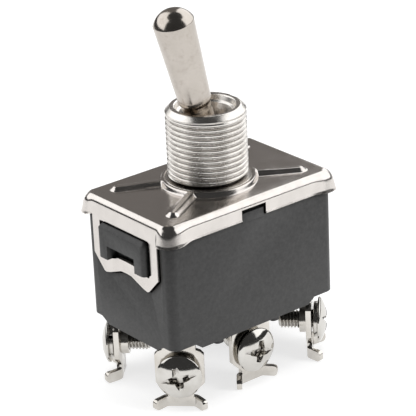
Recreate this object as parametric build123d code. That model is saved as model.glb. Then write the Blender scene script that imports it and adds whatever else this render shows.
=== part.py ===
from build123d import *
import os
from math import asin, atan, cos, degrees, radians, sin, sqrt, tan

# Millimetres. X runs along the switch, the way the lever throws, and Z runs up the bushing.
# The origin is on the bushing's axis at the top of the cover's collar, where a panel seats.

# Housing, moulded in one piece
housing_length = 30.8
housing_width = 19.6
housing_edge = 1.4
housing_bottom = -21.55
housing_wall = 2.0
rebate = 0.4
rebate_gap = 0.15
floor = 3.95
floor_top = housing_bottom + floor
corner_cut = 0.9
corner_ramp_foot = (housing_length / 2 - 5.2, housing_width / 2 - 4.0)
corner_ramp_top = (housing_length / 2 - 4.0, housing_width / 2 - 2.4)
barrier_half = 0.7
barrier_top = -8.3
rib_x = 5.4
rib_thickness = 1.6
rib_half_width = housing_width / 2 - 1.7
rib_bottom = housing_bottom - 1.55
lug_half = 5.45
lug_top = -4.55
lug_bottom = -9.8
lug_face = housing_length / 2 + 1.35
lug_recess_half = lug_half - 2.25
lug_recess_top = lug_bottom + 2.2
boss_half = 2.0
boss_top = -3.0
boss_bottom = -4.45
boss_proud = 0.55
insulator_sheet = 0.25
insulator_inset = 0.6

# Bushing with its threaded barrel
bushing_radius = 5.95
bushing_top = 10.65
bushing_rim_chamfer = 0.55
undercut_radius = bushing_radius - 0.6
undercut_height = 0.75
thread_pitch = 0.794
thread_depth = 0.3
thread_land = 0.35
pilot_radius = bushing_radius + 0.55
pilot_drop = 0.05
bushing_flange_radius = pilot_radius + 0.4
bushing_flange = 1.15
skirt_radius = 4.4
throat_radius = 2.85
mouth_radius = 4.5
keyway_width = 1.7
keyway_depth = 0.95

# Cover: one nickel-plated stamping, folded over the housing
sheet = 0.6
end_gap = 0.3
side_gap = 0.2
cover_length = housing_length - 2 * rebate + 2 * (sheet + end_gap)
cover_width = housing_width - 2 * rebate + 2 * (sheet + side_gap)
plate_top = -1.2
flange_bottom = -4.0
cover_corner = housing_edge + 0.5
cover_bend = 1.1
collar_top_radius = bushing_flange_radius + sheet + 0.1
collar_base_radius = collar_top_radius + sheet
rib_angle = 29.0
rib_reach = 14.6
rib_base = 2.2
rib_crest = 1.0
rib_height = 0.6
flange_notch_half = boss_half + 0.25
flange_notch_top = -2.35

# End tabs of the cover and their windows, drawn as (y, z) on the short side
flap_half = housing_width / 2 - 2.3
tab_outline = [
    (flap_half, -3.5), (flap_half, -10.0), (flap_half - 0.9, -10.9), (lug_half - 0.35, -12.45),
    (3.6, -12.2), (0.0, -11.1),
]
window_half = lug_half + 0.35
window_outline = [
    (window_half, -4.4), (window_half, -9.6), (window_half - 0.5, -10.15), (3.6, -10.0), (0.0, -9.3),
]

# Lever, all heights counted from its pivot along its own axis
pivot_z = 4.55
lever_tilt = 14.3
ball_radius = 3.4
ball_clearance = 0.1
neck_radius = 2.2
neck_top = 7.0
bat_bottom = 7.55
bat_bottom_radius = 2.42
bat_top = 20.45
bat_top_radius = 3.0
dome_height = 1.9
shank_radius = 2.1
shank_end = -9.0
spring_bore_radius = 1.35
spring_bore_top = -1.8
pin_radius = 0.75
pin_half_length = 4.3

# Terminals, all six of one blade
strip = 0.8
blade_half = 3.6
blade_top = housing_bottom - 0.55
blade_bottom = -27.1
stem_half = 2.45
stem_bottom = housing_bottom - 0.25
neck_half = 1.95
neck_start = -28.8
ear_top = -29.4
ear_bottom = -31.0
ear_length = 2.0
ear_bend = 50.0
ear_inner_radius = 0.5
ear_tip_radius = 0.6
tab_half = 1.3
screw_z = -25.6
middle_front_y = housing_width / 2 - 1.4
corner_plate = (housing_length / 2 - 2.8, housing_width / 2 - 2.55)
slot_clearance = 0.05

# Clamp screws and their lock washers
screw_radius = 1.45
tapped_radius = 1.5
screw_length = 6.0
head_radius = 3.4
head_rim = 0.35
head_dome = 1.0
slot_width = 0.95
slot_depth = 0.75
cross_half = 2.0
washer_radius = 2.75
washer_hole_radius = 1.55
washer_thickness = 0.65
washer_gap = 0.25
split = 0.5
split_angle = 35.0
collar_radius = 2.05
collar_depth = 1.1

# Contact system: a foot of the actuator rides in the dish of each rocker
nose_radius = 0.9
foot_width = 2.4
bar_gap = 1.1
bar_height = 2.2
bar_half = 2.1
foot_gap = 0.04
rocker_tilt = 8.0
rocker_strip = 0.6
rocker_half_width = 2.5
rocker_ear = 0.6
rocker_ear_radius = 1.0
contact_arm = corner_plate[0] - 3.0
crest_radius = 0.5
crest_clearance = 0.05
fulcrum_height = 1.16
crest_length = 3.6
foot_half = 2.3
groove_depth = 0.2
dish_margin = 4.0
contact_radius = 1.5
rocker_half_length = contact_arm + contact_radius
pad_radius = contact_radius + 0.45
contact_head = 0.65
rivet_radius = 0.7
contact_gap = 0.02
spring_wire = 0.35
spring_turns = 5

# Everything below is worked out from the values above.
plate_under = plate_top - sheet
housing_top = plate_under - insulator_sheet
bushing_under = -sheet - bushing_flange
thread_top = bushing_top - bushing_rim_chamfer
ledge = flange_bottom - rebate_gap
dip = rocker_strip + crest_radius + crest_clearance - groove_depth
rocker_axis_z = floor_top + strip + fulcrum_height
foot_reach = pivot_z - rocker_axis_z - dip - foot_gap
nose_reach = foot_reach - nose_radius


def nose_in_rocker(lever_angle, rocker_angle):
    """Where the foot's nose centre lies in the rocker's own frame."""
    x = nose_reach * sin(radians(lever_angle))
    z = pivot_z - nose_reach * cos(radians(lever_angle)) - rocker_axis_z
    turn = radians(rocker_angle)
    return x * cos(turn) - z * sin(turn), x * sin(turn) + z * cos(turn)


nose_u, nose_w = nose_in_rocker(lever_tilt, rocker_tilt)
nose_rise = nose_w - nose_in_rocker(0.0, 0.0)[1]
nose_path = (nose_u**2 + nose_rise**2) / (2 * nose_rise)
dish_radius = nose_path + nose_radius + foot_gap
dish_centre = dip + dish_radius
dish_angle = degrees(asin(nose_u / nose_path)) + dish_margin

arm_start_u = dish_radius * sin(radians(dish_angle))
arm_start_w = dish_centre - dish_radius * cos(radians(dish_angle))
arm_slope = tan(radians(rocker_tilt))
contact_top_w = arm_start_w + (contact_arm - arm_start_u) * arm_slope
contact_drop = rocker_strip + contact_head
contact_u = contact_arm + contact_drop * sin(radians(rocker_tilt))
contact_w = contact_top_w - contact_drop * cos(radians(rocker_tilt))
contact_x = contact_u * cos(radians(rocker_tilt)) + contact_w * sin(radians(rocker_tilt))
contact_z = rocker_axis_z - contact_u * sin(radians(rocker_tilt)) + contact_w * cos(radians(rocker_tilt))
pole_y = corner_plate[1] - (corner_plate[0] - contact_x)
fixed_face_z = contact_z - contact_gap
arm_top = fixed_face_z - contact_head
contact_reach = (corner_plate[0] - contact_x) * sqrt(2) + strip / 2

LEVER = Pos(0, 0, pivot_z) * Rot(0, -lever_tilt, 0)
CORNERS = {"left_front": (-1, -1), "right_front": (1, -1), "right_back": (1, 1), "left_back": (-1, 1)}


def block(x, y, z):
    """A box given by its low and high limits on each axis."""
    low = (x[0], y[0], z[0])
    return Pos(*low) * Box(x[1] - x[0], y[1] - y[0], z[1] - z[0], align=(Align.MIN,) * 3)


def post(radius, low, high):
    """An upright cylinder between two heights."""
    return Pos(0, 0, low) * Cylinder(radius, high - low, align=(Align.CENTER, Align.CENTER, Align.MIN))


def mirrored(points):
    """Closes a half outline by its mirror image in the first coordinate."""
    return points + [(-a, b) for a, b in reversed(points) if a]


def turned(points):
    """A solid of revolution about Z from (radius, height) points."""
    return revolve(Plane.XZ * make_face(Polyline(points, close=True)), Axis.Z)


def rounded_slab(length, width, low, high, corner):
    """A plate with rounded upright corners."""
    return Pos(0, 0, low) * extrude(RectangleRounded(length, width, corner), high - low)


def terminal_frame(name):
    """A terminal's own frame: front face at y = 0 facing -Y, with Z left as it is."""
    if name.startswith("middle"):
        return Rot(0, 0, 0 if name.endswith("front") else 180) * Pos(0, -middle_front_y, 0)
    sx, sy = CORNERS[name]
    turn = {(-1, -1): -45, (1, -1): 45, (1, 1): 135, (-1, 1): 225}[(sx, sy)]
    out = strip / 2 / sqrt(2)
    x, y = corner_plate[0] + out, corner_plate[1] + out
    return Pos(sx * x, sy * y, 0) * Rot(0, 0, turn)


TERMINALS = list(CORNERS) + ["middle_front", "middle_back"]


def cover_shell():
    """The folded box before its sides are trimmed."""
    depth = min(z for _, z in tab_outline) - 1
    outer = rounded_slab(cover_length, cover_width, depth, plate_top, cover_corner)
    outer = fillet(outer.faces().sort_by(Axis.Z)[-1].edges(), cover_bend)
    inner = rounded_slab(
        cover_length - 2 * sheet, cover_width - 2 * sheet, depth, plate_under, cover_corner - sheet
    )
    inner = fillet(inner.faces().sort_by(Axis.Z)[-1].edges(), cover_bend - sheet)
    return outer - inner


def end_prism(points):
    """An outline on the short side, run through both ends of the switch."""
    face = Plane.YZ * make_face(Polyline(mirrored(points), close=True))
    return extrude(face, cover_length, both=True)


def emboss(base, crest, low, high):
    """One raised rib, lying along +X from the collar out to its rounded end."""
    start = collar_top_radius - 1.2
    length = rib_reach - start
    lower = Pos(start + length / 2, 0, low) * SlotOverall(length, base)
    trim = base - crest
    upper = Pos(start + length / 2, 0, high) * SlotOverall(length - trim, crest)
    return loft([lower, upper])


def make_cover():
    """Plate with its collar and ribs, two long flanges and two crimped end tabs."""
    shell = cover_shell()
    skirt = block((-cover_length, cover_length), (-cover_width, cover_width), (flange_bottom, 1))
    shell = (shell & skirt) + (end_prism(tab_outline) & shell)
    shell -= end_prism(window_outline)
    notch = (-flange_notch_half, flange_notch_half)
    shell -= block(notch, (-cover_width, cover_width), (housing_bottom, flange_notch_top))
    shell += turned([(0, plate_under), (collar_base_radius, plate_under), (collar_base_radius, plate_top),
                     (collar_top_radius + 0.15, -0.15), (collar_top_radius, 0), (0, 0)])
    for angle in (rib_angle, 180 - rib_angle, 180 + rib_angle, -rib_angle):
        shell += Rot(0, 0, angle) * emboss(rib_base, rib_crest, plate_top - 0.2, plate_top + rib_height)
    for angle in (rib_angle, 180 - rib_angle, 180 + rib_angle, -rib_angle):
        shell -= Rot(0, 0, angle) * emboss(rib_base - sheet, rib_crest - sheet, plate_under - 0.1, plate_top)
    pocket = collar_top_radius - sheet
    shell -= turned([(0, plate_under - 1), (pocket + 0.4, plate_under - 1), (pocket + 0.4, plate_under),
                     (pocket, -sheet), (0, -sheet)])
    return shell - post(pilot_radius, -2, 2)


def thread_rings():
    """Outline points of the thread's grooves, as plain rings with flat crests."""
    points = []
    root_radius = bushing_radius - thread_depth
    for turn in range(int((thread_top - undercut_height) / thread_pitch)):
        high = undercut_height + (turn + 1) * thread_pitch
        low = high - thread_pitch + thread_land
        points += [(bushing_radius, low), (root_radius, (low + high) / 2), (bushing_radius, high)]
    return points


def make_bushing():
    """Threaded barrel, ball seat with two pin grooves, funnel mouth and keyway."""
    seat = ball_radius + ball_clearance
    throat_z = pivot_z + sqrt(seat**2 - throat_radius**2)
    outline = [
        (0, bushing_under), (bushing_flange_radius, bushing_under), (bushing_flange_radius, -sheet),
        (pilot_radius, -sheet), (pilot_radius, -pilot_drop), (undercut_radius, -pilot_drop),
        (undercut_radius, undercut_height - 0.35), (bushing_radius, undercut_height), *thread_rings(),
        (bushing_radius, thread_top),
        (bushing_radius - bushing_rim_chamfer, bushing_top), (0, bushing_top),
    ]
    body = turned(outline)
    body -= turned([(0, throat_z - 0.3), (throat_radius, throat_z - 0.3), (throat_radius, throat_z),
                    (mouth_radius, bushing_top), (mouth_radius, bushing_top + 1), (0, bushing_top + 1)])
    body -= Pos(0, 0, pivot_z) * Sphere(seat)
    body -= post(seat, bushing_under, pivot_z)
    body -= turned([(0, bushing_under), (skirt_radius, bushing_under), (skirt_radius, -0.2),
                    (seat, skirt_radius - seat - 0.2), (0, skirt_radius - seat - 0.2)])
    groove = pin_radius + 0.05
    reach = pin_half_length + 0.1
    body -= block((-groove, groove), (-reach, reach), (bushing_under, pivot_z))
    body -= Pos(0, 0, pivot_z) * Rot(90, 0, 0) * Cylinder(groove, 2 * reach)
    key_floor = bushing_radius - keyway_depth
    half = keyway_width / 2
    body -= block((key_floor, 2 * key_floor), (-half, half), (-pilot_drop, bushing_top + 1))
    return body


def make_lever():
    """Bat, neck, ball and hollow shank in one turned piece."""
    dome_radius = (bat_top_radius**2 + dome_height**2) / (2 * dome_height)
    tip = bat_top + dome_height
    middle = (bat_top_radius * 0.52, tip - dome_radius + sqrt(dome_radius**2 - (bat_top_radius * 0.52) ** 2))
    line = Polyline(
        (0, tip - 2), (0, shank_end), (shank_radius, shank_end), (shank_radius, 0), (neck_radius, 0),
        (neck_radius, neck_top), (bat_bottom_radius - 0.1, bat_bottom - 0.25),
        (bat_bottom_radius, bat_bottom), (bat_top_radius, bat_top),
    )
    dome = ThreePointArc((bat_top_radius, bat_top), middle, (0, tip))
    body = revolve(Plane.XZ * make_face([*line.edges(), *dome.edges(), Line((0, tip), (0, tip - 2))]), Axis.Z)
    body += Sphere(ball_radius)
    body -= post(spring_bore_radius, shank_end, spring_bore_top)
    body -= Rot(90, 0, 0) * Cylinder(pin_radius, 4 * ball_radius)
    return LEVER * body


def make_pivot_pin():
    """Cross pin, pressed through the ball, with its ends in the bushing's grooves."""
    pin = Rot(90, 0, 0) * Cylinder(pin_radius, 2 * pin_half_length)
    return LEVER * chamfer(pin.edges(), 0.15)


def make_actuator():
    """Sprung plunger: a stem in the lever's bore and two feet, one over each rocker."""
    stem_top = spring_bore_top * 3
    bar_top = shank_end - bar_gap
    bar_bottom = bar_top - bar_height
    half_y = pole_y + foot_width / 2
    bar = block((-bar_half, bar_half), (-half_y, half_y), (bar_bottom, bar_top))
    bar = fillet(bar.edges().filter_by(Axis.Y), 0.4)
    body = bar + post(spring_bore_radius - 0.05, bar_top - 0.2, stem_top)
    outline = [(bar_half - 0.4, bar_bottom + 0.5), (nose_radius, -nose_reach)]
    foot = make_face(Polyline(mirrored(outline), close=True)) + Pos(0, -nose_reach) * Circle(nose_radius)
    foot = extrude(Plane.XZ * foot, foot_width / 2, both=True)
    for side in (-1, 1):
        body += Pos(0, side * pole_y, 0) * foot
    return LEVER * body


def make_spring():
    """Coil between the top of the lever's bore and the actuator's stem."""
    low = spring_bore_top * 3 + spring_wire / 2 + 0.02
    high = spring_bore_top - spring_wire / 2 - 0.02
    radius = spring_bore_radius - spring_wire / 2 - 0.08
    path = Helix(pitch=(high - low) / spring_turns, height=high - low, radius=radius)
    wire = sweep(Plane(origin=path @ 0, z_dir=path % 0) * Circle(spring_wire / 2), path=path, is_frenet=True)
    return LEVER * Pos(0, 0, low) * wire


def make_insulator():
    """Fibre sheet laid between the cover and the housing."""
    length = housing_length - 2 * (rebate + insulator_inset)
    width = housing_width - 2 * (rebate + insulator_inset)
    slab = rounded_slab(length, width, housing_top, plate_under, housing_edge)
    return slab - post(bushing_flange_radius + 0.3, housing_top - 1, 0)


def housing_body():
    """Outer block with its stepped underside, lugs, bosses and barrier ribs."""
    body = rounded_slab(housing_length, housing_width, housing_bottom, ledge, housing_edge)
    seat_x, seat_y = housing_length / 2 - rebate, housing_width / 2 - rebate
    body += rounded_slab(2 * seat_x, 2 * seat_y, ledge - 1, housing_top, housing_edge)
    pocket = offset(make_face(Polyline(mirrored(tab_outline), close=True)), rebate_gap)
    pocket = extrude(Plane.YZ * pocket, cover_length, both=True)
    body -= pocket - block((-seat_x, seat_x), (-housing_width, housing_width), (housing_bottom, 0))
    for sx, sy in CORNERS.values():
        size = housing_width
        rings = []
        for (x, y), z in ((corner_ramp_foot, housing_bottom), (corner_ramp_top, housing_bottom + corner_cut)):
            rings.append(Pos(sx * (x + size / 2), sy * (y + size / 2), z) * Rectangle(size, size))
        body -= loft(rings)
    for side in (-1, 1):
        end = sorted((side * seat_x, side * housing_length))
        face = sorted((side * (seat_x - sheet), side * lug_face))
        lug = block(face, (-lug_half, lug_half), (lug_bottom, lug_top))
        outer = lug.faces().sort_by(Axis.X)[-1 if side > 0 else 0]
        lug = fillet(outer.edges().filter_by(Axis.Z), 0.7)
        top = lug.edges().filter_by(Axis.Y).group_by(Axis.Z)[-1].sort_by(Axis.X)[-1 if side > 0 else 0]
        lug = chamfer(top, 0.6)
        body += lug
        body -= block(end, (-lug_recess_half, lug_recess_half), (lug_bottom - 1, lug_recess_top))
        proud = sorted((side * (seat_y - 1), side * (seat_y + boss_proud)))
        body += block((-boss_half, boss_half), proud, (boss_bottom, boss_top))
        rib = block(
            (side * rib_x - rib_thickness / 2, side * rib_x + rib_thickness / 2),
            (-rib_half_width, rib_half_width),
            (rib_bottom, housing_bottom + 0.5),
        )
        body += fillet(rib.edges().filter_by(Axis.Z), 0.6)
    return body


def make_housing():
    """Housing with one chamber a pole and a slot through the floor for each terminal."""
    body = housing_body()
    half_x = housing_length / 2 - housing_wall
    half_y = housing_width / 2 - housing_wall
    chamber = rounded_slab(2 * half_x, 2 * half_y, floor_top, housing_top, 0.8)
    chamber -= block((-half_x, half_x), (-barrier_half, barrier_half), (floor_top, barrier_top))
    for sx, sy in CORNERS.values():
        size = 2 * pad_radius + 0.5
        pad = Box(size, size, arm_top - strip - floor_top, align=(Align.CENTER, Align.CENTER, Align.MIN))
        chamber -= Pos(sx * contact_x, sy * pole_y, floor_top) * pad
    body -= chamber
    half = tab_half + slot_clearance
    wide = stem_half + slot_clearance
    through = (-slot_clearance, strip + slot_clearance)
    for name in TERMINALS:
        slot = block((-half, half), through, (rib_bottom, floor_top + 0.2))
        slot += block((-half, half), (-slot_clearance, strip + 1.2), (floor_top, floor_top + 3.2))
        if not name.startswith("middle"):
            slot += block((-wide, wide), through, (rib_bottom, housing_bottom + corner_cut))
        body -= terminal_frame(name) * slot
    return body


def ear():
    """The right-hand ear at a terminal's foot, bent forward to keep the wire in, with a round tip."""
    bend = radians(ear_bend)
    middle = bend / 2
    centre = (neck_half - 0.2, -ear_inner_radius)
    outer = ear_inner_radius + strip

    def on_bend(radius, angle):
        return centre[0] + radius * sin(angle), centre[1] + radius * cos(angle)

    def along(point):
        return point[0] + ear_length * cos(bend), point[1] - ear_length * sin(bend)

    front, back = on_bend(ear_inner_radius, bend), on_bend(outer, bend)
    tip = [along(front), along(back)]
    edges = [
        ThreePointArc((centre[0], 0), on_bend(ear_inner_radius, middle), front),
        Line(front, tip[0]), Line(*tip), Line(tip[1], back),
        ThreePointArc(back, on_bend(outer, middle), (centre[0], strip)),
        Line((centre[0], strip), (centre[0], 0)),
    ]
    half = (ear_top - ear_bottom) / 2
    body = extrude(make_face(edges), half, both=True)
    tip_face = body.faces().sort_by_distance((Vector(*tip[0]) + Vector(*tip[1])) / 2)[0]
    corners = tip_face.edges().group_by(Axis.Z)
    body = Pos(0, 0, ear_bottom + half) * fillet(corners[0] + corners[-1], ear_tip_radius)
    return body + block((0, centre[0]), (0, strip), (ear_bottom, ear_top))


def blade(shoulder):
    """The outside of a terminal: stem, clamp plate with its tapped collar, and two bent ears."""
    outline = [
        (stem_half, shoulder), (stem_half, stem_bottom), (blade_half - 0.5, blade_top + 0.05),
        (blade_half, blade_top - 0.5), (blade_half, blade_bottom), (neck_half + 0.3, neck_start + 0.3),
        (neck_half, neck_start), (neck_half, ear_bottom),
    ]
    plate = extrude(Plane.XZ * make_face(Polyline(mirrored(outline), close=True)), -strip)
    plate += ear() + mirror(ear(), Plane.YZ)
    collar = Pos(0, strip + collar_depth / 2 - 0.1, screw_z) * Rot(90, 0, 0)
    plate += collar * Cylinder(collar_radius, collar_depth + 0.2)
    return plate - Pos(0, 0, screw_z) * Rot(90, 0, 0) * Cylinder(tapped_radius, 4 * collar_depth)


def make_corner_terminal(name):
    """Corner terminal: its tab bends in over the floor to carry the fixed contact."""
    plate = blade(housing_bottom + corner_cut)
    plate += block((-tab_half, tab_half), (0, strip), (housing_bottom, arm_top))
    plate += block((-tab_half, tab_half), (0, contact_reach), (arm_top - strip, arm_top))
    plate += Pos(0, contact_reach, 0) * post(pad_radius, arm_top - strip, arm_top)
    plate -= Pos(0, contact_reach, 0) * post(rivet_radius, arm_top - 2 * strip, arm_top + 1)
    return terminal_frame(name) * plate


def make_middle_terminal(name):
    """Middle terminal: its foot lies on the floor and is folded up into the rocker's fulcrum."""
    plate = blade(housing_bottom)
    foot_top = floor_top + strip
    plate += block((-tab_half, tab_half), (0, strip), (housing_bottom, foot_top))
    centre = middle_front_y - pole_y
    plate += block((-tab_half, tab_half), (0, centre), (floor_top, foot_top))
    plate += block((-foot_half, foot_half), (centre - foot_half, centre + foot_half), (floor_top, foot_top))
    near, far = centre - crest_length / 2, centre + crest_length / 2
    plate += block((-crest_radius, crest_radius), (near, far), (floor_top, rocker_axis_z))
    plate += Pos(0, centre, rocker_axis_z) * Rot(90, 0, 0) * Cylinder(crest_radius, crest_length)
    return terminal_frame(name) * plate


def rocker_section():
    """Side view of a rocker about its own axis: dish in the middle, an arm each way."""
    angle = radians(dish_angle)
    end_w = arm_start_w + (rocker_half_length - arm_start_u) * arm_slope
    low = dish_radius + rocker_strip
    drop = (rocker_strip * sin(radians(rocker_tilt)), rocker_strip * cos(radians(rocker_tilt)))
    inner = (low * sin(angle), dish_centre - low * cos(angle))
    meet = arm_start_w - drop[1] - drop[0] * arm_slope
    fall = inner[1] - (meet + (inner[0] - arm_start_u) * arm_slope)
    under = (inner[0] - fall * 0.5, inner[1] - fall * 0.5 * tan(angle))
    top = ThreePointArc((-arm_start_u, arm_start_w), (0, dip), (arm_start_u, arm_start_w))
    bottom = ThreePointArc((-under[0], under[1]), (0, dip - rocker_strip), under)
    sides = []
    for s in (-1, 1):
        tip = (s * rocker_half_length, end_w)
        heel = (s * (rocker_half_length + drop[0]), end_w - drop[1])
        kink_u = under[0] + 0.35
        kink = (s * kink_u, arm_start_w - drop[1] + (kink_u - arm_start_u - drop[0]) * arm_slope)
        sides.append(Polyline((s * arm_start_u, arm_start_w), tip, heel, kink, (s * under[0], under[1])))
    edges = [*top.edges(), *bottom.edges(), *sides[0].edges(), *sides[1].edges()]
    return make_face(edges)


def contact_place(side):
    """Frame on the top of a rocker's arm, square to it, at the contact."""
    return Pos(side * contact_arm, 0, contact_top_w) * Rot(0, -side * rocker_tilt, 0)


def rocker_place(side):
    """A rocker's own frame, as it stands at rest."""
    return Pos(0, side * pole_y, rocker_axis_z) * Rot(0, rocker_tilt, 0)


def make_rocker(side):
    """Pressed see-saw with a coined groove and two ears that keep it on the fulcrum."""
    body = extrude(Plane.XZ * rocker_section(), rocker_half_width, both=True)
    for edge in (-1, 1):
        inner, outer = sorted((edge * (rocker_half_width - rocker_ear), edge * rocker_half_width))
        disc = Pos(0, (inner + outer) / 2, 0) * Rot(90, 0, 0) * Cylinder(rocker_ear_radius, rocker_ear)
        body += disc + block((-rocker_ear_radius, rocker_ear_radius), (inner, outer), (0, dip - 0.1))
    body -= Rot(90, 0, 0) * Cylinder(crest_radius + crest_clearance, crest_length + 0.2)
    for arm in (-1, 1):
        body -= contact_place(arm) * post(rivet_radius, -2, 1)
    return rocker_place(side) * body


def make_moving_contact(side, arm):
    """Rivet with its face under the rocker's arm."""
    face = -rocker_strip - contact_head
    outline = [
        (0, face), (contact_radius - 0.25, face), (contact_radius, face + 0.2),
        (contact_radius, -rocker_strip), (rivet_radius, -rocker_strip), (rivet_radius, 0),
        (rivet_radius + 0.4, 0), (rivet_radius + 0.2, 0.2), (0, 0.25),
    ]
    return rocker_place(side) * contact_place(arm) * turned(outline)


def make_fixed_contact(sx, sy):
    """Rivet through the arm of a corner terminal."""
    face = arm_top + contact_head
    under = arm_top - strip
    outline = [
        (0, under), (rivet_radius, under), (rivet_radius, arm_top), (contact_radius, arm_top),
        (contact_radius, face - 0.2), (contact_radius - 0.25, face), (0, face),
    ]
    return Pos(sx * contact_x, sy * pole_y, 0) * turned(outline)


def screw_frame(name):
    """Frame on a terminal's front face with Z along the screw, pointing out."""
    return terminal_frame(name) * Pos(0, 0, screw_z) * Rot(90, 0, 0)


def make_screw(name):
    """Pan-head clamp screw, turned back a little from tight."""
    seat = washer_gap + washer_thickness
    rim = seat + head_rim
    dome = (head_radius**2 + head_dome**2) / (2 * head_dome)
    side = head_radius * 0.55
    top = rim + head_dome
    arc = ThreePointArc((head_radius, rim), (side, top - dome + sqrt(dome**2 - side**2)), (0, top))
    low = seat - screw_length
    line = Polyline(
        (0, top), (0, low), (screw_radius - 0.3, low), (screw_radius, low + 0.3), (screw_radius, seat),
        (head_radius, seat), (head_radius, rim),
    )
    body = revolve(Plane.XZ * make_face([*line.edges(), *arc.edges()]), Axis.Z)
    bottom = top - slot_depth
    body -= block((-head_radius, head_radius), (-slot_width / 2, slot_width / 2), (bottom, bottom + 3))
    body -= block((-slot_width / 2, slot_width / 2), (-cross_half, cross_half), (bottom - 0.3, bottom + 3))
    return screw_frame(name) * body


def make_washer(name):
    """Split lock washer under the screw's head."""
    ring = post(washer_radius, washer_gap, washer_gap + washer_thickness)
    ring -= post(washer_hole_radius, 0, 2)
    cut = Rot(0, 0, split_angle) * block((0, washer_radius + 1), (-split / 2, split / 2), (0, 2))
    return screw_frame(name) * (ring - cut)


def all_parts():
    """Every piece of the switch by its node name."""
    parts = {
        "cover": make_cover(),
        "bushing": make_bushing(),
        "lever": make_lever(),
        "pivot_pin": make_pivot_pin(),
        "actuator": make_actuator(),
        "actuator_spring": make_spring(),
        "insulator": make_insulator(),
        "housing": make_housing(),
    }
    for end, side in (("front", -1), ("back", 1)):
        parts[f"rocker_{end}"] = make_rocker(side)
        parts[f"moving_contact_left_{end}"] = make_moving_contact(side, -1)
        parts[f"moving_contact_right_{end}"] = make_moving_contact(side, 1)
    for name, (sx, sy) in CORNERS.items():
        parts[f"fixed_contact_{name}"] = make_fixed_contact(sx, sy)
    for name in TERMINALS:
        make = make_middle_terminal if name.startswith("middle") else make_corner_terminal
        parts[f"terminal_{name}"] = make(name)
        parts[f"screw_{name}"] = make_screw(name)
        parts[f"washer_{name}"] = make_washer(name)
    return parts


os.makedirs("parts", exist_ok=True)
for node, shape in all_parts().items():
    export_step(shape, f"parts/{node}.step")
    print(node, round(shape.volume, 2), len(shape.solids()))
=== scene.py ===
from math import acos, atan2, cos, pi, radians, sin, sqrt, tan

import bmesh
import bpy
from mathutils import Matrix, Vector

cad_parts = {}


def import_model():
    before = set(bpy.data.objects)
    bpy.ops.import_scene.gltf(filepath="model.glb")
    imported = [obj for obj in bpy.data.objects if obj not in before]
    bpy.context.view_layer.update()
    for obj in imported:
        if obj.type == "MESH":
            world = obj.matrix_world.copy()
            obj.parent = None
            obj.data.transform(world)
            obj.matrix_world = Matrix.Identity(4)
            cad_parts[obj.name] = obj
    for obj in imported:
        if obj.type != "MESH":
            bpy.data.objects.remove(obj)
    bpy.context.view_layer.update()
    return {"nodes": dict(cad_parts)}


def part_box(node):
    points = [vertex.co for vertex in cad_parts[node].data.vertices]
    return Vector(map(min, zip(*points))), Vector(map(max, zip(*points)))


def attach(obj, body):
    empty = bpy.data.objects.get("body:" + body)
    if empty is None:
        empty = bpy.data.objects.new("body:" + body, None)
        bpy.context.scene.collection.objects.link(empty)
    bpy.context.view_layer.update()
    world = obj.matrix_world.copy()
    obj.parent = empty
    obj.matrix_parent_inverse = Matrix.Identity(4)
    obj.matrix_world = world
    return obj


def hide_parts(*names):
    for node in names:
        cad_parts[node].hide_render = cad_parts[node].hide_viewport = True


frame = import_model()

# Lengths below are millimetres in the CAD's frame; meshes are made in metres.
MM = 0.001
WHITE = (1, 1, 1)
PIVOT_Z = 4.55
TILT = radians(14.3)
LEVER = Matrix.Translation((0, 0, PIVOT_Z)) @ Matrix.Rotation(-TILT, 4, "Y")

# Each clamp screw's place on the outer face of its strip, and its bearing from -Y towards +X, in degrees.
SCREW_Z = -25.6
CORNER_X, CORNER_Y, MIDDLE_Y = 12.883, 7.533, 8.4
TERMINALS = {
    "left_front": (-CORNER_X, -CORNER_Y, -45),
    "right_front": (CORNER_X, -CORNER_Y, 45),
    "right_back": (CORNER_X, CORNER_Y, 135),
    "left_back": (-CORNER_X, CORNER_Y, 225),
    "middle_front": (0.0, -MIDDLE_Y, 0),
    "middle_back": (0.0, MIDDLE_Y, 180),
}


# Curves and profiles

def clamp(t):
    return min(1.0, max(0.0, t))


def smooth(t):
    t = clamp(t)
    return t * t * (3 - 2 * t)


def span(a, b, count):
    """Evenly spaced values from a, without b."""
    return [a + (b - a) * k / count for k in range(count)]


def arc(radius, height, start, end, steps):
    """Points of a circle round (0, height), from one angle to another."""
    turns = [start + (end - start) * k / steps for k in range(steps + 1)]
    return [(radius * cos(turn), height + radius * sin(turn)) for turn in turns]


def dome(rim, rise, base, steps, skip=1):
    """Points of a shallow dome over a rim at height base, up to its crown. It skips the first few."""
    ball = (rim**2 + rise**2) / (2 * rise)
    edge = acos((ball - rise) / ball)
    turns = [edge * (1 - k / steps) for k in range(skip, steps + 1)]
    return [(ball * sin(turn), base + rise - ball + ball * cos(turn)) for turn in turns]


def rounded(points, steps=5):
    """A polyline of (a, b) or (a, b, radius) points with those corners rounded."""
    out = []
    for i, point in enumerate(points):
        radius = point[2] if len(point) > 2 else 0
        p = Vector(point[:2])
        if not radius or i in (0, len(points) - 1):
            out.append((p.x, p.y))
            continue
        a = (Vector(points[i - 1][:2]) - p).normalized()
        b = (Vector(points[i + 1][:2]) - p).normalized()
        angle = a.angle(b)
        reach = radius / tan(angle / 2)
        start, end = p + a * reach, p + b * reach
        middle = p + (a + b).normalized() * (radius / sin(angle / 2))
        va, vb = start - middle, end - middle
        sweep = va.angle_signed(vb)
        for k in range(steps + 1):
            turn = -sweep * k / steps
            out.append((
                middle.x + va.x * cos(turn) - va.y * sin(turn),
                middle.y + va.x * sin(turn) + va.y * cos(turn),
            ))
    return out


def skin(rows, columns):
    """Faces between rows of points that close on themselves."""
    faces = []
    for i in range(rows - 1):
        for k in range(columns):
            a, b = i * columns + k, i * columns + (k + 1) % columns
            faces.append((a, b, b + columns, a + columns))
    return faces


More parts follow.
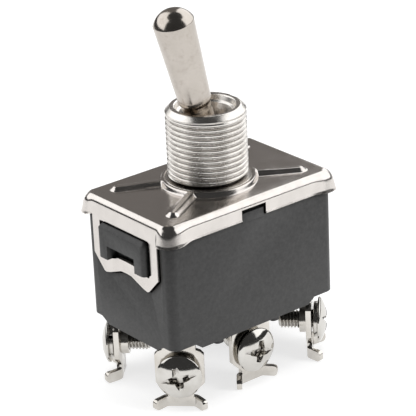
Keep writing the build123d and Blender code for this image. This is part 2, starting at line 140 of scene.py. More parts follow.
def lathe(profile, count):
    """Points and faces of a profile of (radius, height), turned about Z."""
    turns = [2 * pi * k / count for k in range(count)]
    verts = [(r * cos(turn), r * sin(turn), z) for r, z in profile for turn in turns]
    return verts, skin(len(profile), count)


# Mesh helpers

def new_object(name, verts, faces, unit=MM):
    """A linked mesh object. Its points are in millimetres unless unit says otherwise."""
    mesh = bpy.data.meshes.new(name)
    mesh.from_pydata([Vector(v) * unit for v in verts], [], faces)
    obj = bpy.data.objects.new(name, mesh)
    bpy.context.scene.collection.objects.link(obj)
    return obj


def clean(obj, distance=1e-7):
    """Merges doubled points and turns every face outwards."""
    bm = bmesh.new()
    bm.from_mesh(obj.data)
    bmesh.ops.remove_doubles(bm, verts=bm.verts, dist=distance)
    bmesh.ops.dissolve_degenerate(bm, edges=bm.edges, dist=distance)
    bmesh.ops.recalc_face_normals(bm, faces=bm.faces)
    bm.to_mesh(obj.data)
    bm.free()


def bevel(obj, width, angle=40):
    """Breaks the edges that are sharper than an angle."""
    mod = obj.modifiers.new("edges", "BEVEL")
    mod.width = width * MM
    mod.segments = 2
    mod.limit_method = "ANGLE"
    mod.angle_limit = radians(angle)
    mod.use_clamp_overlap = True


def bake(obj):
    """Applies the modifiers of a new piece."""
    graph = bpy.context.evaluated_depsgraph_get()
    mesh = bpy.data.meshes.new_from_object(obj.evaluated_get(graph))
    obj.modifiers.clear()
    obj.data = mesh


def finish_piece(obj, material, body, nodes, sharp=35):
    """Shades a piece with edges sharp past an angle, gives it its material, hangs it on the body it rides on
    and hides the CAD nodes it stands in for.
    """
    obj.data.materials.clear()
    obj.data.materials.append(material)
    obj.data.shade_smooth()
    obj.data.set_sharp_from_angle(angle=radians(sharp))
    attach(obj, body)
    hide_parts(*nodes)


def dressed_copy(node, body, material, width):
    """A copy of a CAD node with its edges broken, as tumbling and plating leave them."""
    weld, flat = 2e-6, radians(0.4)
    source = frame["nodes"][node]
    obj = bpy.data.objects.new(node + "_dressed", source.data.copy())
    bpy.context.scene.collection.objects.link(obj)
    bm = bmesh.new()
    bm.from_mesh(obj.data)
    bmesh.ops.remove_doubles(bm, verts=bm.verts, dist=weld)
    bmesh.ops.dissolve_limit(bm, angle_limit=flat, verts=bm.verts, edges=bm.edges)
    bmesh.ops.recalc_face_normals(bm, faces=bm.faces)
    bm.to_mesh(obj.data)
    bm.free()
    bevel(obj, width)
    bake(obj)
    finish_piece(obj, material, body, [node])


# Materials

# GRIME_AND_SHADE is oil and dust together with painted shade in crevices; SHADOW is painted shadow in
# moulded hollows.
GRIME_AND_SHADE = (0.07, 0.055, 0.045)
PITS = (0.08, 0.065, 0.055)
BLOTCHES = (0.16, 0.125, 0.095)
BROWNED = (0.27, 0.215, 0.16)
SHADOW = (0.004, 0.004, 0.004)


def nodes_of(name):
    """A new material with its node tree and its main shader."""
    material = bpy.data.materials.new(name)
    material.use_nodes = True
    tree = material.node_tree
    return material, tree, tree.nodes["Principled BSDF"]


def coords(tree, scale=(1, 1, 1)):
    """Object coordinates, in metres."""
    source = tree.nodes.new("ShaderNodeTexCoord")
    mapping = tree.nodes.new("ShaderNodeMapping")
    mapping.inputs["Scale"].default_value = scale
    tree.links.new(source.outputs["Object"], mapping.inputs["Vector"])
    return mapping.outputs["Vector"]


def noise(tree, vector, per_mm, detail, rough=0.55):
    node = tree.nodes.new("ShaderNodeTexNoise")
    node.inputs["Scale"].default_value = per_mm / MM
    node.inputs["Detail"].default_value = detail
    node.inputs["Roughness"].default_value = rough
    tree.links.new(vector, node.inputs["Vector"])
    return node.outputs["Fac"]


def spread(tree, fac, low, high, start=0.3, end=0.7):
    """Maps start..end of a value to low..high."""
    node = tree.nodes.new("ShaderNodeMapRange")
    node.inputs["From Min"].default_value = start
    node.inputs["From Max"].default_value = end
    node.inputs["To Min"].default_value = low
    node.inputs["To Max"].default_value = high
    tree.links.new(fac, node.inputs["Value"])
    return node.outputs["Result"]


def tint(tree, fac, stops):
    """A colour ramp of (position, colour) stops."""
    node = tree.nodes.new("ShaderNodeValToRGB")
    for element, (at, colour) in zip(node.color_ramp.elements, stops):
        element.position = at
        element.color = (*colour, 1)
    tree.links.new(fac, node.inputs["Fac"])
    return node.outputs["Color"]


def blend(tree, fac, base, colour):
    """The base colour with another laid over it by a mask."""
    mix = tree.nodes.new("ShaderNodeMix")
    mix.data_type = "RGBA"
    tree.links.new(fac, mix.inputs["Factor"])
    tree.links.new(base, mix.inputs["A"])
    mix.inputs["B"].default_value = (*colour, 1)
    return mix.outputs["Result"]


def bump(tree, shader, heights):
    """Chains bumps of (height, depth in mm) into the shader's normal."""
    normal = None
    for fac, depth in heights:
        node = tree.nodes.new("ShaderNodeBump")
        node.inputs["Strength"].default_value = 1.0
        node.inputs["Distance"].default_value = depth * MM
        tree.links.new(fac, node.inputs["Height"])
        if normal is not None:
            tree.links.new(normal, node.inputs["Normal"])
        normal = node.outputs["Normal"]
    tree.links.new(normal, shader.inputs["Normal"])


def openness(tree, reach, own=False):
    """1 on open faces and less in hollows that are about as narrow as reach, or in the piece's own only."""
    node = tree.nodes.new("ShaderNodeAmbientOcclusion")
    node.samples = 6
    node.only_local = own
    node.inputs["Distance"].default_value = reach * MM
    return node.outputs["AO"]


def grime_and_shade(tree, base, amount, reach):
    """Darkens a plated colour in its crevices: the oil and dust that stay there, and painted shade where
    less light reaches.
    """
    # Painted shade as well as dirt: the colour goes dark brown where the piece hides its own surface, in
    # thread roots, recesses and under heads.
    closed = spread(tree, openness(tree, reach, own=True), amount, 0.0, start=0.25, end=0.8)
    return blend(tree, closed, base, GRIME_AND_SHADE)


def pits(tree, vector, base, share):
    """Specks where the plate has pitted, more of them for a larger share."""
    speck = noise(tree, vector, per_mm=2.6, detail=2.0, rough=0.6)
    edge = 1 - share
    return blend(tree, spread(tree, speck, 0.0, 1.0, start=edge, end=edge + 0.04), base, PITS)


def wear(tree, vector, base, neck):
    """Blotches all over, and a browned neck that fades out just above the height neck."""
    patch = noise(tree, vector, per_mm=0.7, detail=8.0, rough=0.78)
    base = blend(tree, spread(tree, patch, 0.0, 0.36, start=0.48, end=0.72), base, BLOTCHES)
    split = tree.nodes.new("ShaderNodeSeparateXYZ")
    tree.links.new(vector, split.inputs["Vector"])
    low = spread(tree, split.outputs["Z"], 0.62, 0.0, start=neck * MM, end=(neck + 1.6) * MM)
    return blend(tree, low, base, BROWNED)


def plated(name, colour, dull, rough, grain, streak=None, spots=0.0, dirt_and_shade=0.0, reach=0.35, neck=None):
    """Nickel plate: clouded gloss, a faint ripple, and the pits, oily dust with painted shade in crevices,
    and wear that are asked for.
    """
    material, tree, shader = nodes_of(name)
    shader.inputs["Metallic"].default_value = 1.0
    vector = coords(tree)
    cloud = noise(tree, vector, per_mm=0.35, detail=4.0)
    base = tint(tree, cloud, [(0.3, dull), (0.62, colour)])
    if spots:
        base = pits(tree, vector, base, spots)
    if dirt_and_shade:
        # Painted shade in crevices, together with oil and dust.
        base = grime_and_shade(tree, base, dirt_and_shade, reach)
    if neck:
        base = wear(tree, vector, base, neck)
    tree.links.new(base, shader.inputs["Base Color"])
    glossy, worn = rough
    tree.links.new(spread(tree, cloud, worn, glossy), shader.inputs["Roughness"])
    heights = [
        (noise(tree, vector, per_mm=6.0, detail=3.0), grain),
        (noise(tree, vector, per_mm=0.8, detail=2.0), grain * 3),
    ]
    if streak:
        heights.append((noise(tree, coords(tree, streak), per_mm=1.0, detail=2.0), grain * 1.5))
    bump(tree, shader, heights)
    return material


def moulded(name, dark, light, rough=(0.35, 0.5), grain=0.004):
    """Moulded plastic: fine spark-eroded texture and a faint mottle, with painted shade in its hollows,
    where its colour goes dark and its shine is damped.
    """
    material, tree, shader = nodes_of(name)
    vector = coords(tree)
    cloud = noise(tree, vector, per_mm=1.6, detail=6.0, rough=0.75)
    fine = noise(tree, vector, per_mm=9.0, detail=2.0)
    base = tint(tree, cloud, [(0.36, dark), (0.64, light)])
    tree.links.new(spread(tree, fine, *rough), shader.inputs["Roughness"])
    # Painted shadow: hollows such as the gap under the cover's flange turn nearly black and lose their
    # shine.
    lit = openness(tree, reach=0.9)
    shine = spread(tree, lit, 0.0, 0.45, start=0.52, end=0.92)
    tree.links.new(shine, shader.inputs["Specular IOR Level"])
    closed = spread(tree, lit, 0.9, 0.0, start=0.52, end=0.92)
    tree.links.new(blend(tree, closed, base, SHADOW), shader.inputs["Base Color"])
    bump(tree, shader, [(fine, grain), (noise(tree, vector, per_mm=0.12, detail=2.0), grain * 4)])
    return material


# dirt_and_shade sets how far crevices darken, as oil and dust and as painted shade; with a longer reach it
# also darkens screw recesses and the undersides of heads.
MATERIALS = {
    "lever": plated(
        "lever_nickel", (0.53, 0.488, 0.446), (0.475, 0.437, 0.394),
        rough=(0.13, 0.24), grain=0.0010, streak=(0.3, 0.3, 9), neck=11.3,
    ),
    "bushing": plated(
        "bushing_nickel", (0.79, 0.765, 0.73), (0.69, 0.66, 0.62),
        rough=(0.19, 0.30), grain=0.0022, spots=0.25, dirt_and_shade=0.9, reach=0.7,
    ),
    "cover": plated(
        "cover_nickel", (0.68, 0.645, 0.615), (0.63, 0.595, 0.565),
        rough=(0.14, 0.24), grain=0.0008, spots=0.24, dirt_and_shade=0.5,
    ),
    "terminal": plated(
        "terminal_nickel", (0.67, 0.645, 0.605), (0.58, 0.55, 0.505),
        rough=(0.10, 0.22), grain=0.0015, dirt_and_shade=0.5,
    ),
    "screw": plated(
        "screw_nickel", (0.63, 0.615, 0.585), (0.55, 0.53, 0.495),
        rough=(0.06, 0.14), grain=0.0010, dirt_and_shade=0.92, reach=0.7,
    ),
    "washer": plated(
        "washer_nickel", (0.62, 0.60, 0.57), (0.52, 0.50, 0.46),
        rough=(0.16, 0.28), grain=0.0015, dirt_and_shade=0.6,
    ),
    "pin": plated(
        "pin_steel", (0.62, 0.61, 0.60), (0.55, 0.54, 0.53), rough=(0.14, 0.24), grain=0.0010,
    ),
    "spring": plated(
        "spring_wire", (0.52, 0.52, 0.53), (0.42, 0.42, 0.43), rough=(0.2, 0.3), grain=0.0010,
    ),
    "rocker": plated(
        "rocker_alloy", (0.80, 0.62, 0.36), (0.72, 0.53, 0.29), rough=(0.2, 0.34), grain=0.0012,
    ),
    "contact": plated(
        "contact_silver", (0.90, 0.89, 0.86), (0.80, 0.78, 0.73), rough=(0.18, 0.34), grain=0.0012,
    ),
    "housing": moulded("housing_plastic", (0.030, 0.030, 0.030), (0.051, 0.0505, 0.050)),
    "nylon": moulded("nylon", (0.78, 0.76, 0.69), (0.84, 0.82, 0.76), rough=(0.4, 0.5), grain=0.002),
    "insulator": moulded("fibre", (0.17, 0.10, 0.07), (0.24, 0.15, 0.11), rough=(0.6, 0.75), grain=0.006),
}


# Lever

def make_lever():
    """Bat, neck, ball and hollow shank, turned about the lever's axis with the ball's centre at zero."""
    bore, shank, neck, ball = 1.35, 2.1, 2.2, 3.4
    foot, bore_top = -9.0, -1.8
    rim, rim_z, cap = 3.0, 20.45, 1.9
    ball_foot, ball_top = -acos(shank / ball), acos(neck / ball)
    profile = rounded([
        (bore, foot), (shank - 0.3, foot), (shank, foot + 0.3, 0.2), (shank, ball * sin(ball_foot)),
    ])
    profile += arc(ball, 0, ball_foot, ball_top, 24)
    profile += rounded([
        (neck, 2.6), (neck, 7.0, 0.12), (2.32, 7.3, 0.15), (2.42, 7.55, 0.25),
        (rim - 0.004, rim_z - 0.14),
    ])
    profile += [(rim, rim_z - 0.06), (rim, rim_z)] + dome(rim, cap, rim_z, 28)
    verts, faces = lathe(profile, 128)
    inner, inner_faces = lathe([(bore, foot), (bore, bore_top), (0.0, bore_top)], 48)
    start = len(verts)
    faces += [tuple(v + start for v in reversed(face)) for face in inner_faces]
    obj = new_object("lever_bat", [LEVER @ Vector(v) for v in verts + inner], faces)
    clean(obj)
    finish_piece(obj, MATERIALS["lever"], "lever", ["lever"], 28)


# Bushing

BARREL, CORE = 5.95, 5.15
THREAD_PITCH, THREAD_DEPTH = 0.794, 0.34
THREAD_FOOT, THREAD_END, THREAD_LEAD = 0.06, 9.85, 0.2
KEYWAY_X, KEYWAY_HALF = 5.0, 0.85
SEAT_Z, FLANGE_FOOT, FLANGE_TOP = -0.32, -1.75, -0.92


def bushing_rows():
    """(radius, height, thread depth) up the outside of the bushing, over its rim and down its bore."""
    flange, ring, rim_z, bore = 6.9, 6.5, 10.65, 4.4
    socket, socket_edge = 3.5, radians(35.6)
    steps_a_turn, lead_out = 16, 0.45
    below = [
        (flange, FLANGE_FOOT), (flange, FLANGE_TOP), (ring, FLANGE_TOP), (ring, SEAT_Z - 0.12),
        (ring - 0.12, SEAT_Z), (CORE + 0.15, SEAT_Z), (CORE, SEAT_Z + 0.06), (CORE, SEAT_Z + 0.14),
    ]
    rows = [(r, z, 0.0) for r, z in below]
    height = THREAD_END - THREAD_FOOT
    count = int(height / THREAD_PITCH * steps_a_turn)
    for k in range(count + 1):
        z = THREAD_FOOT - THREAD_LEAD + (height + THREAD_LEAD) * k / count
        rows.append((BARREL, z, THREAD_DEPTH * clamp((THREAD_END - z) / lead_out)))
    mouth = rounded([
        (BARREL, THREAD_END), (BARREL, 9.93, 0.1), (5.2, rim_z, 0.42), (4.5, rim_z, 0.3),
        (4.2, 9.8, 0.12), (3.85, 9.62, 0.1), (2.85, 6.58, 0.2), (3.0, 6.35),
    ], 6)
    inside = mouth[1:-1] + arc(socket, PIVOT_Z, socket_edge, 0.0, 12)
    inside += [(socket, 0.7), (bore, -0.2), (bore, FLANGE_FOOT), (flange, FLANGE_FOOT)]
    return rows + [(r, z, 0.0) for r, z in inside]


def thread_radius(z, turn, depth):
    """The helix with its rounded roots, which runs out into the core at its foot."""
    crest, slope, run_in = 0.2, 0.7, 0.3
    phase = (z / THREAD_PITCH + turn / (2 * pi)) % 1.0
    saw = abs(phase - 0.5) * 2
    r = BARREL - depth * smooth((saw - crest) / slope)
    return CORE + (r - CORE) * clamp((z - THREAD_FOOT + THREAD_LEAD) / run_in)


def make_bushing():
    """One skin: barrel with its helical thread and keyway, rim, funnel, seat and flange."""
    edge = atan2(KEYWAY_HALF, sqrt(BARREL**2 - KEYWAY_HALF**2))
    across, around = 8, 168
    columns = [(True, edge * (2 * k / across - 1)) for k in range(across + 1)]
    columns += [(False, edge + (2 * pi - 2 * edge) * k / around) for k in range(around + 1)]
    rows = bushing_rows()
    verts = []
    for radius, z, depth in rows:
        for in_keyway, turn in columns:
            r = thread_radius(z, turn, depth) if depth else radius
            x, y = r * cos(turn), r * sin(turn)
            if in_keyway and z > SEAT_Z and r > KEYWAY_X:
                x = min(x, KEYWAY_X)
                y = KEYWAY_HALF * turn / edge
            elif in_keyway:
                y = min(max(y, -KEYWAY_HALF), KEYWAY_HALF)
            verts.append((x, y, z))
    obj = new_object("bushing_barrel", verts, skin(len(rows), len(columns)))
    clean(obj)
    finish_piece(obj, MATERIALS["bushing"], "base", ["bushing"], 38)


# Cover

PLATE_Z, SHEET, BEND = -1.2, 0.6, 1.1
PLAN_X, PLAN_Y, PLAN_CORNER = 15.9, 10.2, 1.6
COLLAR, COLLAR_SLOPE, COLLAR_RISE = 7.32, 0.46, 0.9
COLLAR_RINGS = [6.5, 6.66] + [6.82 + 0.06 * k for k in range(9)] + [7.4, 7.55, 7.8, 8.15, 8.5]
RIB_ANGLE, RIB_START, RIB_END = radians(29), 6.8, 13.55
RIB_HALF, RIB_SLOPE, RIB_RISE, RIB_EXTRA = 1.22, 0.92, 0.56, 0.12
CROWN_RISE, CROWN_X, CROWN_Y = 0.20, 14.8, 9.1
CORNER_BEND, CORNER_FLARE = 0.42, 0.58
FLANGE_Z, NOTCH_HALF = -4.0, 2.25
TAB_HALF, WINDOW_HALF, WINDOW_TOP, WINDOW_CORNER = 7.5, 5.8, -4.4, 0.45
# Half outlines of an end tab's foot and of the lobe under its window, as falling |y| and Z.
FOOT = rounded([
    (TAB_HALF, -10.0), (6.6, -10.95, 0.5), (5.1, -12.5, 0.55), (3.9, -12.2, 0.6), (1.2, -11.15, 0.8),
    (0.0, -11.1),
])
LOBE = rounded([
    (WINDOW_HALF, -9.4), (5.55, -10.1, 0.3), (3.9, -10.05, 0.7), (1.9, -9.3, 0.8), (0.0, -9.25),
])


def relief(x, y):
    """Height of the stamped top over the plate's edges: a faint crown, four ribs and the collar's disc."""
    crown = CROWN_RISE * max(0.0, 1 - (x / CROWN_X) ** 2) * max(0.0, 1 - (y / CROWN_Y) ** 4)
    rib = 0.0
    for sx in (-1, 1):
        for sy in (-1, 1):
            ux, uy = sx * cos(RIB_ANGLE), sy * sin(RIB_ANGLE)
            along = min(max(x * ux + y * uy, RIB_START), RIB_END)
            off = sqrt((x - along * ux) ** 2 + (y - along * uy) ** 2)
            rise = RIB_RISE + RIB_EXTRA * smooth((11.5 - along) / 4)
            rib = max(rib, rise * smooth((RIB_HALF - off) / RIB_SLOPE))
    disc = smooth((COLLAR - sqrt(x * x + y * y)) / COLLAR_SLOPE)
    return (crown + rib) * (1 - disc) + COLLAR_RISE * disc


def cover_columns():
    """Points round the plan of the cover: (place, outward direction, side, v), where v is the distance along
    a straight side from its middle, and rises from 0 to 1 and falls again round a corner."""
    ex, ey = PLAN_X - PLAN_CORNER, PLAN_Y - PLAN_CORNER
    sill, steps = 5.2, 12
    ys = span(-ey, -TAB_HALF, 3) + span(-TAB_HALF, -WINDOW_HALF, 6) + span(-WINDOW_HALF, -sill, 5)
    ys = ys + span(-sill, sill, 34) + [-y for y in reversed(ys)] + [ey]
    xs = span(-ex, -NOTCH_HALF, 46) + span(-NOTCH_HALF, NOTCH_HALF, 18) + span(NOTCH_HALF, ex, 46) + [ex]
    out = []
    for turn, line in ((0, ys), (90, xs), (180, ys), (270, xs)):
        rot = Matrix.Rotation(radians(turn), 2)
        side = "end" if turn in (0, 180) else "long"
        reach = PLAN_X if side == "end" else PLAN_Y
        for v in line:
            out.append((rot @ Vector((reach, v)), rot @ Vector((1, 0)), side, v))
        centre = rot @ Vector((ex, ey) if side == "end" else (ey, ex))
        for k in range(1, steps):
            direction = Matrix.Rotation(radians(turn + 90 * k / steps), 2) @ Vector((1, 0))
            out.append((centre + PLAN_CORNER * direction, direction, "corner", sin(pi * k / steps)))
    return out


def flare(p, z):
    """How far drawing the sheet has pushed the flange outwards near its corners."""
    start_x, start_y, start_z = 11.2, 7.6, -1.4
    along = smooth((abs(p.x) - start_x) / 2.8)
    across = smooth((abs(p.y) - start_y) / 0.7)
    return CORNER_FLARE * along * across * clamp((start_z - z) / 2.6)


def bend_of(side, v):
    """Radius of the bend, which the draw has widened at the corners."""
    return BEND + (CORNER_BEND * v if side == "corner" else 0)


def follow(points, v):
    """Height of a half outline, given as falling |y| and its z, at v."""
    v = abs(v)
    for (a, za), (b, zb) in zip(points, points[1:]):
        if a >= v >= b:
            return za + (zb - za) * (a - v) / (a - b)
    return points[0][1] if v > points[0][0] else points[-1][1]


def window_top(v):
    """Height of the window's upper edge, which dips towards its corners and stays low beyond them."""
    if abs(v) > WINDOW_HALF:
        return WINDOW_TOP - WINDOW_CORNER
    past = abs(v) - (WINDOW_HALF - WINDOW_CORNER)
    dip = WINDOW_CORNER - sqrt(WINDOW_CORNER**2 - past**2) if 0 < past < WINDOW_CORNER else 0
    return WINDOW_TOP - dip


def plate_rows(columns, steps=60):
    """From the bushing's hole outwards: rings round the collar, then a blend to where the bend starts."""
    outer = COLLAR_RINGS[-1]
    stations = [(r, 0) for r in COLLAR_RINGS] + [(outer, k) for k in range(1, steps + 1)]
    for radius, k in stations:
        row = []
        for p, n, side, v in columns:
            edge = p - n * bend_of(side, v)
            u = edge.normalized() * radius
            u = u + (edge - u) * k / steps
            row.append((u.x, u.y, PLATE_Z + relief(u.x, u.y)))
        yield "top", row


def bend_rows(columns, steps=12):
    for k in range(1, steps + 1):
        turn = pi / 2 * k / steps
        row = []
        for p, n, side, v in columns:
            bend = bend_of(side, v)
            z = PLATE_Z - bend * (1 - cos(turn))
            out = p + n * (flare(p, z) - bend * (1 - sin(turn)))
            row.append((out.x, out.y, z))
        yield "top", row


def flange_rows(columns):
    """Down the flange, whose lip curls out a little except over the end tabs."""
    lip, dip = 0.10, 0.3
    for step in (0.18, 0.35, 0.53, 0.71, 0.87, 1.0):
        row = []
        for p, n, side, v in columns:
            start = PLATE_Z - bend_of(side, v)
            z = start + (FLANGE_Z - dip * flare(p, FLANGE_Z) - start) * step
            over_tab = side == "end" and abs(v) < TAB_HALF + 0.1
            out = p + n * (flare(p, z) + (lip if step == 1.0 and not over_tab else 0))
            row.append((out.x, out.y, z))
        yield "flange", row


def tab_rows(columns):
    """Down the end tabs: to the window's upper edge, to the lobe below it and to the tab's foot."""
    for stage, (band, steps) in enumerate((("tab", 2), ("window", 4), ("tab", 4))):
        for k in range(1, steps + 1):
            row = []
            for p, n, side, v in columns:
                levels = (FLANGE_Z, window_top(v), follow(LOBE, v), follow(FOOT, v))
                upper, lower = levels[stage:stage + 2]
                row.append((p.x, p.y, upper + (lower - upper) * k / steps))
            yield band, row


def is_cut_away(band, side, along):
    """Whether the sheet has a notch or a window here, or doesn't reach down this far."""
    if band == "top":
        return False
    if band == "flange":
        return side == "long" and abs(along) < NOTCH_HALF
    if side != "end" or abs(along) >= TAB_HALF:
        return True
    return band == "window" and abs(along) < WINDOW_HALF


def make_cover():
    """The folded stamping: a single skin, thickened inwards."""
    columns = cover_columns()
    rows = [*plate_rows(columns), *bend_rows(columns), *flange_rows(columns), *tab_rows(columns)]
    count = len(columns)
    faces = []
    for i, (band, row) in enumerate(rows[1:]):
        for j in range(count):
            m = (j + 1) % count
            side = columns[j][2] if columns[j][2] == columns[m][2] else "corner"
            if not is_cut_away(band, side, (columns[j][3] + columns[m][3]) / 2):
                faces.append((i * count + j, i * count + m, (i + 1) * count + m, (i + 1) * count + j))
    obj = new_object("cover_shell", [v for band, row in rows for v in row], faces)
    bm = bmesh.new()
    bm.from_mesh(obj.data)
    loose = [v for v in bm.verts if not v.link_faces]
    bmesh.ops.delete(bm, geom=loose, context="VERTS")
    bmesh.ops.remove_doubles(bm, verts=bm.verts, dist=1e-7)
    bmesh.ops.recalc_face_normals(bm, faces=bm.faces)
    top = max(bm.faces, key=lambda f: f.calc_center_median().z)
    if top.normal.z < 0:
        bmesh.ops.reverse_faces(bm, faces=bm.faces)
    bm.to_mesh(obj.data)
    bm.free()
    solid = obj.modifiers.new("sheet", "SOLIDIFY")
    solid.thickness = SHEET * MM
    solid.offset = -1
    solid.use_even_offset = True
    solid.use_quality_normals = True
    bevel(obj, 0.09, 50)
    bake(obj)
    finish_piece(obj, MATERIALS["cover"], "base", ["cover"], 30)


# Screws

HEAD, HEAD_SEAT, HEAD_RIM, HEAD_RISE = 3.4, 0.9, 1.25, 1.0
# Each recess: its half outline, its depth, how far it narrows to its floor along X and Y, and its turn.
SLOT = [(3.3, 0.10), (1.2, 0.50), (-1.2, 0.50), (-3.3, 0.10)]
WING = [(2.15, 0.50), (0.78, 0.74), (-0.78, 0.74), (-2.15, 0.50)]
RECESSES = [(SLOT, 0.62, (1.0, 0.6), 0), (WING, 1.35, (0.5, 0.55), 0), (WING, 1.35, (0.5, 0.55), 90)]


def screw_matrix(name):
    """From a screw's own axis, Z outwards from its strip, to its place in millimetres."""
    x, y, turn = TERMINALS[name]
    place = Matrix.Translation((x, y, 0)) @ Matrix.Rotation(radians(turn), 4, "Z")
    return place @ Matrix.Translation((0, 0, SCREW_Z)) @ Matrix.Rotation(radians(90), 4, "X")


def recess_cutters(top):
    """A straight slot that thins towards its ends, and the wings of a tapered cross."""
    cutters = []
    for outline, depth, shrink, turn in RECESSES:
        ring = outline + [(x, -y) for x, y in reversed(outline)]
        rot = Matrix.Rotation(radians(turn), 2)
        upper = [rot @ Vector(p) for p in ring]
        lower = [rot @ Vector((x * shrink[0], y * shrink[1])) for x, y in ring]
        n = len(ring)
        verts = [(*p, top + 0.4) for p in upper] + [(*p, top - depth) for p in lower]
        faces = [tuple(range(n)), tuple(reversed(range(n, 2 * n)))]
        faces += [(k, k + n, (k + 1) % n + n, (k + 1) % n) for k in range(n)]
        cutters.append(new_object("cutter", verts, faces))
        clean(cutters[-1])
    return cutters


def add_thread(bm):
    """Helical shank from under the head down to its chamfered end."""
    pitch, crest, root, length, count = 0.5, 1.45, 1.17, 6.0, 40
    steps_a_turn, flat, slope = 8, 0.12, 0.76
    point, chamfer = 1.0, 0.35
    steps = int(length / pitch * steps_a_turn)
    end = HEAD_SEAT - length
    rows = []
    for k in range(steps + 1):
        z = HEAD_SEAT - length * k / steps
        limit = point + (crest - point) * min(1.0, (z - end) / chamfer)
        row = []
        for j in range(count):
            turn = 2 * pi * j / count
            phase = (z / pitch - turn / (2 * pi)) % 1.0
            saw = clamp((abs(phase - 0.5) * 2 - flat) / slope)
            r = min(crest - (crest - root) * saw, limit)
            row.append(bm.verts.new((r * cos(turn) * MM, r * sin(turn) * MM, z * MM)))
        rows.append(row)
    for a, b in zip(rows, rows[1:]):
        for j in range(count):
            m = (j + 1) % count
            bm.faces.new((a[m], a[j], b[j], b[m]))
    bm.faces.new(list(reversed(rows[-1])))
    bm.faces.new(rows[0])
    bmesh.ops.recalc_face_normals(bm, faces=bm.faces)


def make_screw(name, turn):
    """Pan head with a combined recess, and a helical thread."""
    bore, count = 1.1, 72
    side = rounded([
        (bore, HEAD_SEAT), (HEAD, HEAD_SEAT, 0.1), (HEAD, HEAD_RIM - 0.08, 0.12),
        (HEAD * 0.97, HEAD_RIM + 0.06),
    ], 3)
    profile = [(bore, HEAD_SEAT)] + side[1:] + dome(HEAD, HEAD_RISE, HEAD_RIM, 20, skip=2)
    verts, faces = lathe(profile, count)
    obj = new_object("screw_" + name + "_threaded", verts, faces + [tuple(range(count))])
    clean(obj)
    cutters = recess_cutters(HEAD_RIM + HEAD_RISE)
    for cutter in cutters:
        mod = obj.modifiers.new("recess", "BOOLEAN")
        mod.object = cutter
        mod.solver = "EXACT"
    bevel(obj, 0.05, 35)
    bake(obj)
    for cutter in cutters:
        bpy.data.objects.remove(cutter)
    bm = bmesh.new()
    bm.from_mesh(obj.data)
    add_thread(bm)
    bm.to_mesh(obj.data)
    bm.free()
    obj.data.transform(Matrix.Scale(1 / MM, 4))
    obj.data.transform(screw_matrix(name) @ Matrix.Rotation(radians(turn), 4, "Z"))
    obj.data.transform(Matrix.Scale(MM, 4))
    finish_piece(obj, MATERIALS["screw"], "screw_" + name, ["screw_" + name], 32)


# Pieces

# How far each screw is turned about its axis, in degrees and in the order of TERMINALS.
SCREW_TURNS = (14, 152, 63, 101, -12, 20)
INSIDE = {
    "pivot_pin": "pin", "actuator": "nylon", "actuator_spring": "spring", "insulator": "insulator",
    "rocker_front": "rocker", "rocker_back": "rocker",
}

make_lever()
make_bushing()
make_cover()
dressed_copy("housing", "base", MATERIALS["housing"], 0.12)
for end, turn in zip(TERMINALS, SCREW_TURNS):
    make_screw(end, turn)
    dressed_copy("terminal_" + end, "base", MATERIALS["terminal"], 0.07)
    dressed_copy("washer_" + end, "washer_" + end, MATERIALS["washer"], 0.08)
for node, obj in frame["nodes"].items():
    kind = INSIDE.get(node) or ("contact" if "contact" in node else None)
    if kind:
        obj.data.materials.clear()
        obj.data.materials.append(MATERIALS[kind])


# Studio, in metres

FLOOR_Z = min(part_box(n)[0][2] for n in frame["nodes"])


def emission(name, colour):
    """A material that glows with a plain colour."""
    material, tree, shader = nodes_of(name)
    light = tree.nodes.new("ShaderNodeEmission")
    light.inputs["Strength"].default_value = 1.0
    light.inputs["Color"].default_value = (*colour, 1)
    tree.links.new(light.outputs["Emission"], tree.nodes["Material Output"].inputs["Surface"])
    return material


def rays_to_background(tree):
    """1 for what the camera, a reflection or a refraction sees."""
    path = tree.nodes.new("ShaderNodeLightPath")
    total = path.outputs["Is Camera Ray"]
    for kind in ("Is Glossy Ray", "Is Transmission Ray"):
        add = tree.nodes.new("ShaderNodeMath")
        add.operation = "ADD"
        add.use_clamp = True
        tree.links.new(total, add.inputs[0])
        tree.links.new(path.outputs[kind], add.inputs[1])
        total = add.outputs["Value"]
    return total


def floor():
    """Pale paper that turns white to the camera and keeps the object's shadow."""
    half, paper, lifted = 0.5, 0.45, 0.70
    corners = [(-half, -half), (half, -half), (half, half), (-half, half)]
    obj = new_object("floor", [(x, y, FLOOR_Z) for x, y in corners], [(0, 1, 2, 3)], unit=1)
    material, tree, shader = nodes_of("paper")
    shader.inputs["Base Color"].default_value = (paper, paper, paper, 1)
    shader.inputs["Roughness"].default_value = 0.9
    shader.inputs["Specular IOR Level"].default_value = 0.1
    shader.inputs["Emission Color"].default_value = (*WHITE, 1)
    lift = tree.nodes.new("ShaderNodeMath")
    lift.operation = "MULTIPLY"
    lift.inputs[1].default_value = lifted
    tree.links.new(rays_to_background(tree), lift.inputs[0])
    tree.links.new(lift.outputs["Value"], shader.inputs["Emission Strength"])
    obj.data.materials.append(material)


def area_light(name, place, size, power):
    """A plain lamp aimed at the origin, which reflections don't see."""
    light = bpy.data.lights.new(name, "AREA")
    light.shape = "RECTANGLE"
    light.size, light.size_y = size
    light.energy = power
    obj = bpy.data.objects.new(name, light)
    obj.location = place
    obj.rotation_euler = (-Vector(place)).to_track_quat("-Z", "Y").to_euler()
    obj.visible_glossy = False
    bpy.context.scene.collection.objects.link(obj)


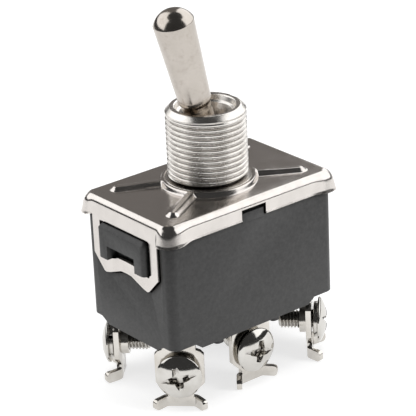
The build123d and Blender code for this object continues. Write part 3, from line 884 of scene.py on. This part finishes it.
def wall(name, bearings, heights, colour, radius=0.7, roof=False):
    """A curved wall or soft box that only reflections see, from its bearings and heights in degrees."""
    first, last = bearings
    low, high = (max(FLOOR_Z, radius * tan(radians(angle))) for angle in heights)
    count = 24
    verts = []
    for k in range(count + 1):
        turn = radians(first + (last - first) * k / count)
        x, y = radius * sin(turn), -radius * cos(turn)
        verts += [(x, y, low), (x, y, high)]
    faces = [(2 * k, 2 * k + 2, 2 * k + 3, 2 * k + 1) for k in range(count)]
    if roof:
        faces.append(tuple(range(1, 2 * count, 2)))
    obj = new_object(name, verts, faces, unit=1)
    obj.data.materials.append(emission(name, colour))
    obj.visible_camera = False
    obj.visible_diffuse = False
    obj.visible_shadow = False


def world():
    """White for the camera and reflections, and a plain level of light for the rest."""
    light_level, seen_level = 0.34, 1.0
    scene = bpy.context.scene
    scene.world = bpy.data.worlds.new("studio")
    scene.world.use_nodes = True
    tree = scene.world.node_tree
    back = tree.nodes["Background"]
    back.inputs["Color"].default_value = (*WHITE, 1)
    level = spread(tree, rays_to_background(tree), light_level, seen_level, start=0.0, end=1.0)
    tree.links.new(level, back.inputs["Strength"])


def camera():
    """The photograph's view, fitted to its edges. Its focal length and shifts are in pixels of the image."""
    image, focal, shift_x, shift_y = 416, 2190.1, -2.781, 19.294
    sensor = 36.0
    yaw, tip, roll, distance = radians(-38.186), radians(23.797), radians(-2.614), 323.826
    target = Vector((0, 0, -8.8))
    back = Vector((sin(yaw) * cos(tip), -cos(yaw) * cos(tip), sin(tip)))
    right = Vector((cos(yaw), sin(yaw), 0))
    up = back.cross(right)
    across = cos(roll) * right + sin(roll) * up
    rise = -sin(roll) * right + cos(roll) * up
    data = bpy.data.cameras.new("camera")
    data.sensor_width = sensor
    data.lens = focal * sensor / image
    data.shift_x = shift_x / image
    data.shift_y = shift_y / image
    data.clip_start, data.clip_end = 0.01, 10
    obj = bpy.data.objects.new("camera", data)
    turn = Matrix((across, rise, back)).transposed()
    obj.matrix_world = Matrix.Translation((target + back * distance) * MM) @ turn.to_4x4()
    bpy.context.scene.collection.objects.link(obj)
    bpy.context.scene.camera = obj


floor()
world()
camera()
area_light("left_box", (-0.52, 0.02, 0.26), (0.26, 0.40), 0.4)
area_light("right_box", (0.34, -0.48, 0.18), (0.20, 0.30), 2.0)
area_light("top_box", (0.02, 0.04, 0.60), (0.40, 0.36), 2.4)
wall("dark_cloth", (0, 360), (-5, 60), (0.05, 0.05, 0.05), radius=0.8, roof=True)
wall("right_soft_box", (27, 134), (9, 60), (1.6, 1.6, 1.6))
wall("left_soft_box", (170, 262), (15, 60), (1.5, 1.5, 1.5))
wall("gap_at_the_back", (134, 170), (-5, 60), (0.19, 0.178, 0.17))

bpy.context.scene.view_settings.view_transform = "Standard"
